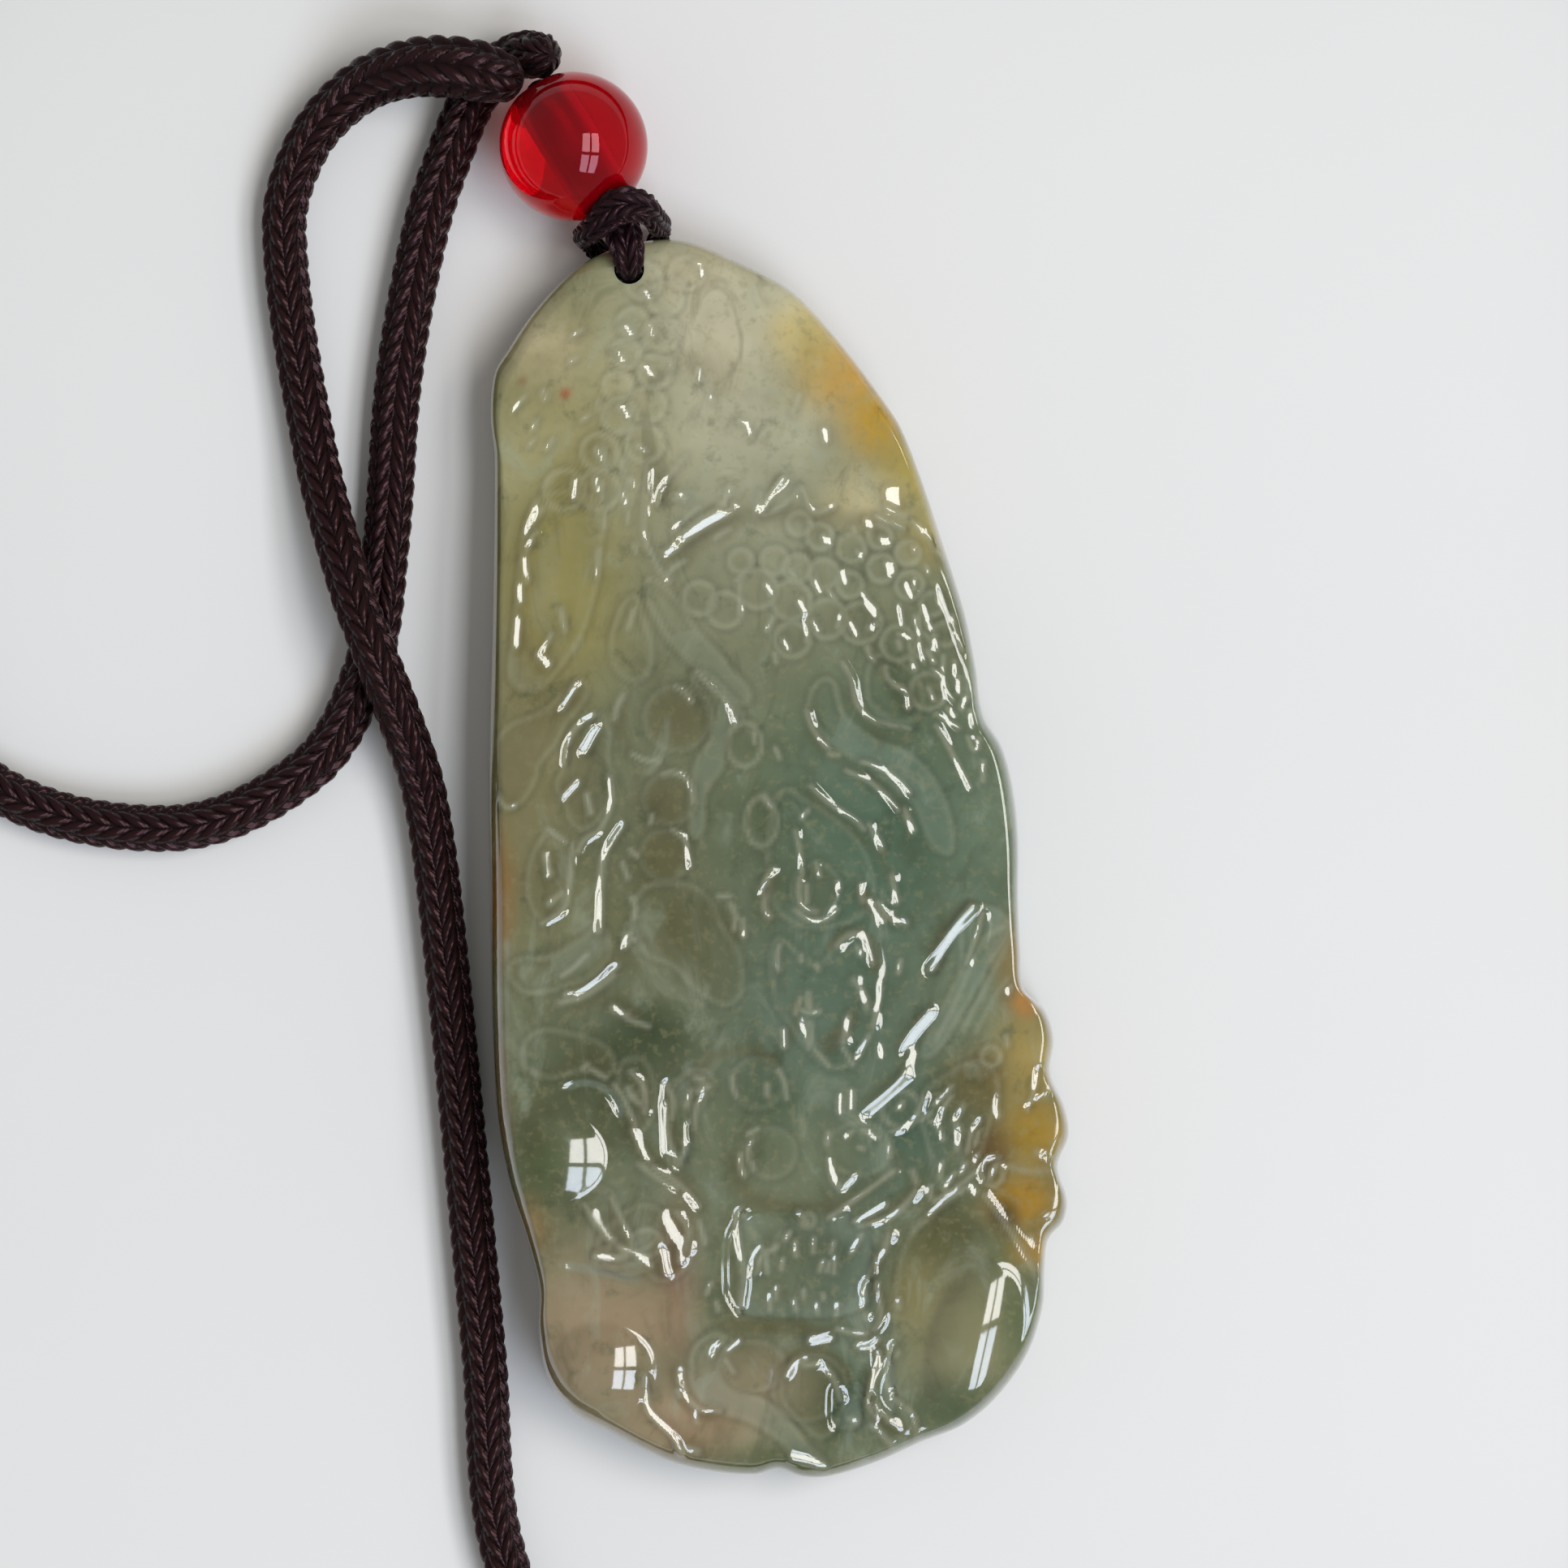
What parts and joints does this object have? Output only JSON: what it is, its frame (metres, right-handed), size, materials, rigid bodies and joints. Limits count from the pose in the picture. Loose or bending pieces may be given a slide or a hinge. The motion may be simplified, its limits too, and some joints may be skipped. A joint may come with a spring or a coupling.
{
  "type": "carved jade pendant with a glass bead and a braided neck cord",
  "caption": "Long carved jade pendant with a coiled dragon in relief, hung from a round glass bead on a braided neck cord.",
  "frame": {"origin": "middle of the carving's outline, in the plane of its flat back, which is the surface it lies on", "axes": "+X to the right and +Y to the hole at the top of the carving as its face is seen, +Z out of the carved face"},
  "size_m": [0.1023, 0.1014, 0.0084],
  "materials": {
    "jade": "polished",
    "red_glass": "polished",
    "braid": "satin",
    "brass": "polished"
  },
  "bodies": {
    "root": {"stone": "jade", "bead": "red_glass", "hitch": "braid", "neck_cord": "braid", "clasp": "brass"}
  },
  "joints": []
}
